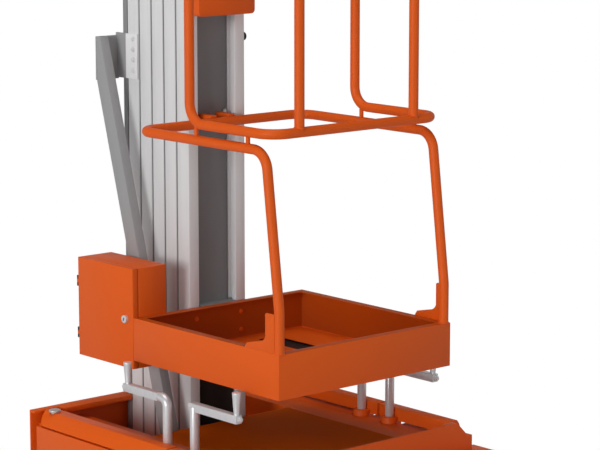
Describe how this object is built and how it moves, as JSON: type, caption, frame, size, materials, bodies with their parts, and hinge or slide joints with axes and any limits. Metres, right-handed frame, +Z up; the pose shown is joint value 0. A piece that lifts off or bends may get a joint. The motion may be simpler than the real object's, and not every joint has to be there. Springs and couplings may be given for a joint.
{
  "type": "vertical mast lift",
  "caption": "Push-around personnel lift with a telescoping aluminium mast, a guarded platform tray, a wheeled tub chassis and swing-out crank outriggers.",
  "frame": {"origin": "on the ground at the middle of the overall length and width", "axes": "+Z up along the mast, -Y towards the platform side, X across the machine"},
  "size_m": [0.982, 1.112, 1.98],
  "materials": {
    "orange_paint": "satin",
    "mast_aluminium": "satin anodised",
    "strut_grey": "satin",
    "crank_steel": "zinc plated",
    "dark_steel": "satin",
    "zinc_steel": "zinc plated",
    "black_plastic": "matt",
    "wheel_rubber": "matt",
    "hub_grey": "satin",
    "battery_case": "matt"
  },
  "bodies": {
    "chassis": {"hull": "orange_paint", "deck": "orange_paint", "nose_frame": "orange_paint", "front_fenders": "orange_paint", "pivot_pins": "zinc_steel", "mast_section_1": "mast_aluminium", "mast_foot": "orange_paint", "strut": "strut_grey", "strut_mounts": "strut_grey", "battery_pack": "battery_case", "power_unit": "dark_steel"},
    "section_2": {"mast_section_2": "mast_aluminium"},
    "section_3": {"mast_section_3": "mast_aluminium"},
    "section_4": {"mast_section_4": "mast_aluminium"},
    "section_5": {"mast_section_5": "mast_aluminium", "mast_stop": "black_plastic"},
    "platform": {"carriage": "dark_steel", "carriage_hood": "orange_paint", "platform_tray": "orange_paint", "platform_beams": "orange_paint", "floor_pan": "dark_steel", "guard_posts": "orange_paint", "lower_ring": "orange_paint", "cage_uprights": "orange_paint", "upper_ring": "orange_paint", "front_bars": "orange_paint", "top_rail_front": "orange_paint", "top_rail_rear": "orange_paint", "ring_links": "orange_paint", "gusset_plates": "orange_paint", "ring_brackets": "orange_paint", "control_box": "orange_paint", "door_hinges": "black_plastic"},
    "box_door": {"control_box_door": "orange_paint", "door_lock": "crank_steel"},
    "outrigger_rear_left": {"outrigger_arm_rear_left": "orange_paint", "crank_rear_left": "crank_steel"},
    "jack_rear_left": {"jack_leg_rear_left": "zinc_steel"},
    "outrigger_rear_right": {"outrigger_arm_rear_right": "orange_paint", "crank_rear_right": "crank_steel"},
    "jack_rear_right": {"jack_leg_rear_right": "zinc_steel"},
    "outrigger_front_left": {"outrigger_arm_front_left": "orange_paint", "crank_front_left": "crank_steel"},
    "jack_front_left": {"jack_leg_front_left": "zinc_steel"},
    "outrigger_front_right": {"outrigger_arm_front_right": "orange_paint", "crank_front_right": "crank_steel"},
    "jack_front_right": {"jack_leg_front_right": "zinc_steel"},
    "front_wheel_left": {"front_tyre_left": "wheel_rubber", "front_hub_left": "hub_grey"},
    "castor_left": {"castor_fork_left": "zinc_steel"},
    "castor_wheel_left": {"castor_tyre_left": "wheel_rubber", "castor_hub_left": "hub_grey"},
    "front_wheel_right": {"front_tyre_right": "wheel_rubber", "front_hub_right": "hub_grey"},
    "castor_right": {"castor_fork_right": "zinc_steel"},
    "castor_wheel_right": {"castor_tyre_right": "wheel_rubber", "castor_hub_right": "hub_grey"}
  },
  "joints": [
    {"name": "section_2_lift", "type": "slide", "parent": "chassis", "child": "section_2", "axis": [0, 0, 1], "range_m": [0, 1.4]},
    {"name": "section_3_lift", "type": "slide", "parent": "section_2", "child": "section_3", "axis": [0, 0, 1], "range_m": [0, 1.4]},
    {"name": "section_4_lift", "type": "slide", "parent": "section_3", "child": "section_4", "axis": [0, 0, 1], "range_m": [0, 1.4]},
    {"name": "section_5_lift", "type": "slide", "parent": "section_4", "child": "section_5", "axis": [0, 0, 1], "range_m": [0, 1.4]},
    {"name": "platform_lift", "type": "slide", "parent": "section_5", "child": "platform", "axis": [0, 0, 1], "range_m": [0, 1.4]},
    {"name": "box_door_hinge", "type": "hinge", "parent": "platform", "child": "box_door", "pos_m": [-0.303, 0.483, 0.6], "axis": [0, 0, -1], "range_deg": [0, 110]},
    {"name": "outrigger_swing_rear_left", "type": "hinge", "parent": "chassis", "child": "outrigger_rear_left", "pos_m": [-0.396, 0.481, 0.28], "axis": [0, 0, -1], "range_deg": [0, 75]},
    {"name": "jack_slide_rear_left", "type": "slide", "parent": "outrigger_rear_left", "child": "jack_rear_left", "axis": [0, 0, -1], "range_m": [0, 0.1]},
    {"name": "outrigger_swing_rear_right", "type": "hinge", "parent": "chassis", "child": "outrigger_rear_right", "pos_m": [0.396, 0.481, 0.28], "axis": [0, 0, 1], "range_deg": [0, 75]},
    {"name": "jack_slide_rear_right", "type": "slide", "parent": "outrigger_rear_right", "child": "jack_rear_right", "axis": [0, 0, -1], "range_m": [0, 0.1]},
    {"name": "outrigger_swing_front_left", "type": "hinge", "parent": "chassis", "child": "outrigger_front_left", "pos_m": [-0.396, -0.3, 0.28], "axis": [0, 0, 1], "range_deg": [0, 90]},
    {"name": "jack_slide_front_left", "type": "slide", "parent": "outrigger_front_left", "child": "jack_front_left", "axis": [0, 0, -1], "range_m": [0, 0.1]},
    {"name": "outrigger_swing_front_right", "type": "hinge", "parent": "chassis", "child": "outrigger_front_right", "pos_m": [0.396, -0.3, 0.28], "axis": [0, 0, -1], "range_deg": [0, 90]},
    {"name": "jack_slide_front_right", "type": "slide", "parent": "outrigger_front_right", "child": "jack_front_right", "axis": [0, 0, -1], "range_m": [0, 0.1]},
    {"name": "front_wheel_spin_left", "type": "hinge", "parent": "chassis", "child": "front_wheel_left", "pos_m": [-0.466, -0.436, 0.1], "axis": [1, 0, 0], "continuous": true},
    {"name": "castor_swivel_left", "type": "hinge", "parent": "chassis", "child": "castor_left", "pos_m": [-0.345, 0.425, 0.15], "axis": [0, 0, 1], "continuous": true},
    {"name": "castor_spin_left", "type": "hinge", "parent": "castor_left", "child": "castor_wheel_left", "pos_m": [-0.345, 0.389, 0.0625], "axis": [1, 0, 0], "continuous": true},
    {"name": "front_wheel_spin_right", "type": "hinge", "parent": "chassis", "child": "front_wheel_right", "pos_m": [0.466, -0.436, 0.1], "axis": [1, 0, 0], "continuous": true},
    {"name": "castor_swivel_right", "type": "hinge", "parent": "chassis", "child": "castor_right", "pos_m": [0.345, 0.425, 0.15], "axis": [0, 0, 1], "continuous": true},
    {"name": "castor_spin_right", "type": "hinge", "parent": "castor_right", "child": "castor_wheel_right", "pos_m": [0.345, 0.389, 0.0625], "axis": [1, 0, 0], "continuous": true}
  ],
  "couplings": [
    {"joint": "section_3_lift", "follows": "section_2_lift", "ratio": 1},
    {"joint": "section_4_lift", "follows": "section_2_lift", "ratio": 1},
    {"joint": "section_5_lift", "follows": "section_2_lift", "ratio": 1},
    {"joint": "platform_lift", "follows": "section_2_lift", "ratio": 1}
  ]
}
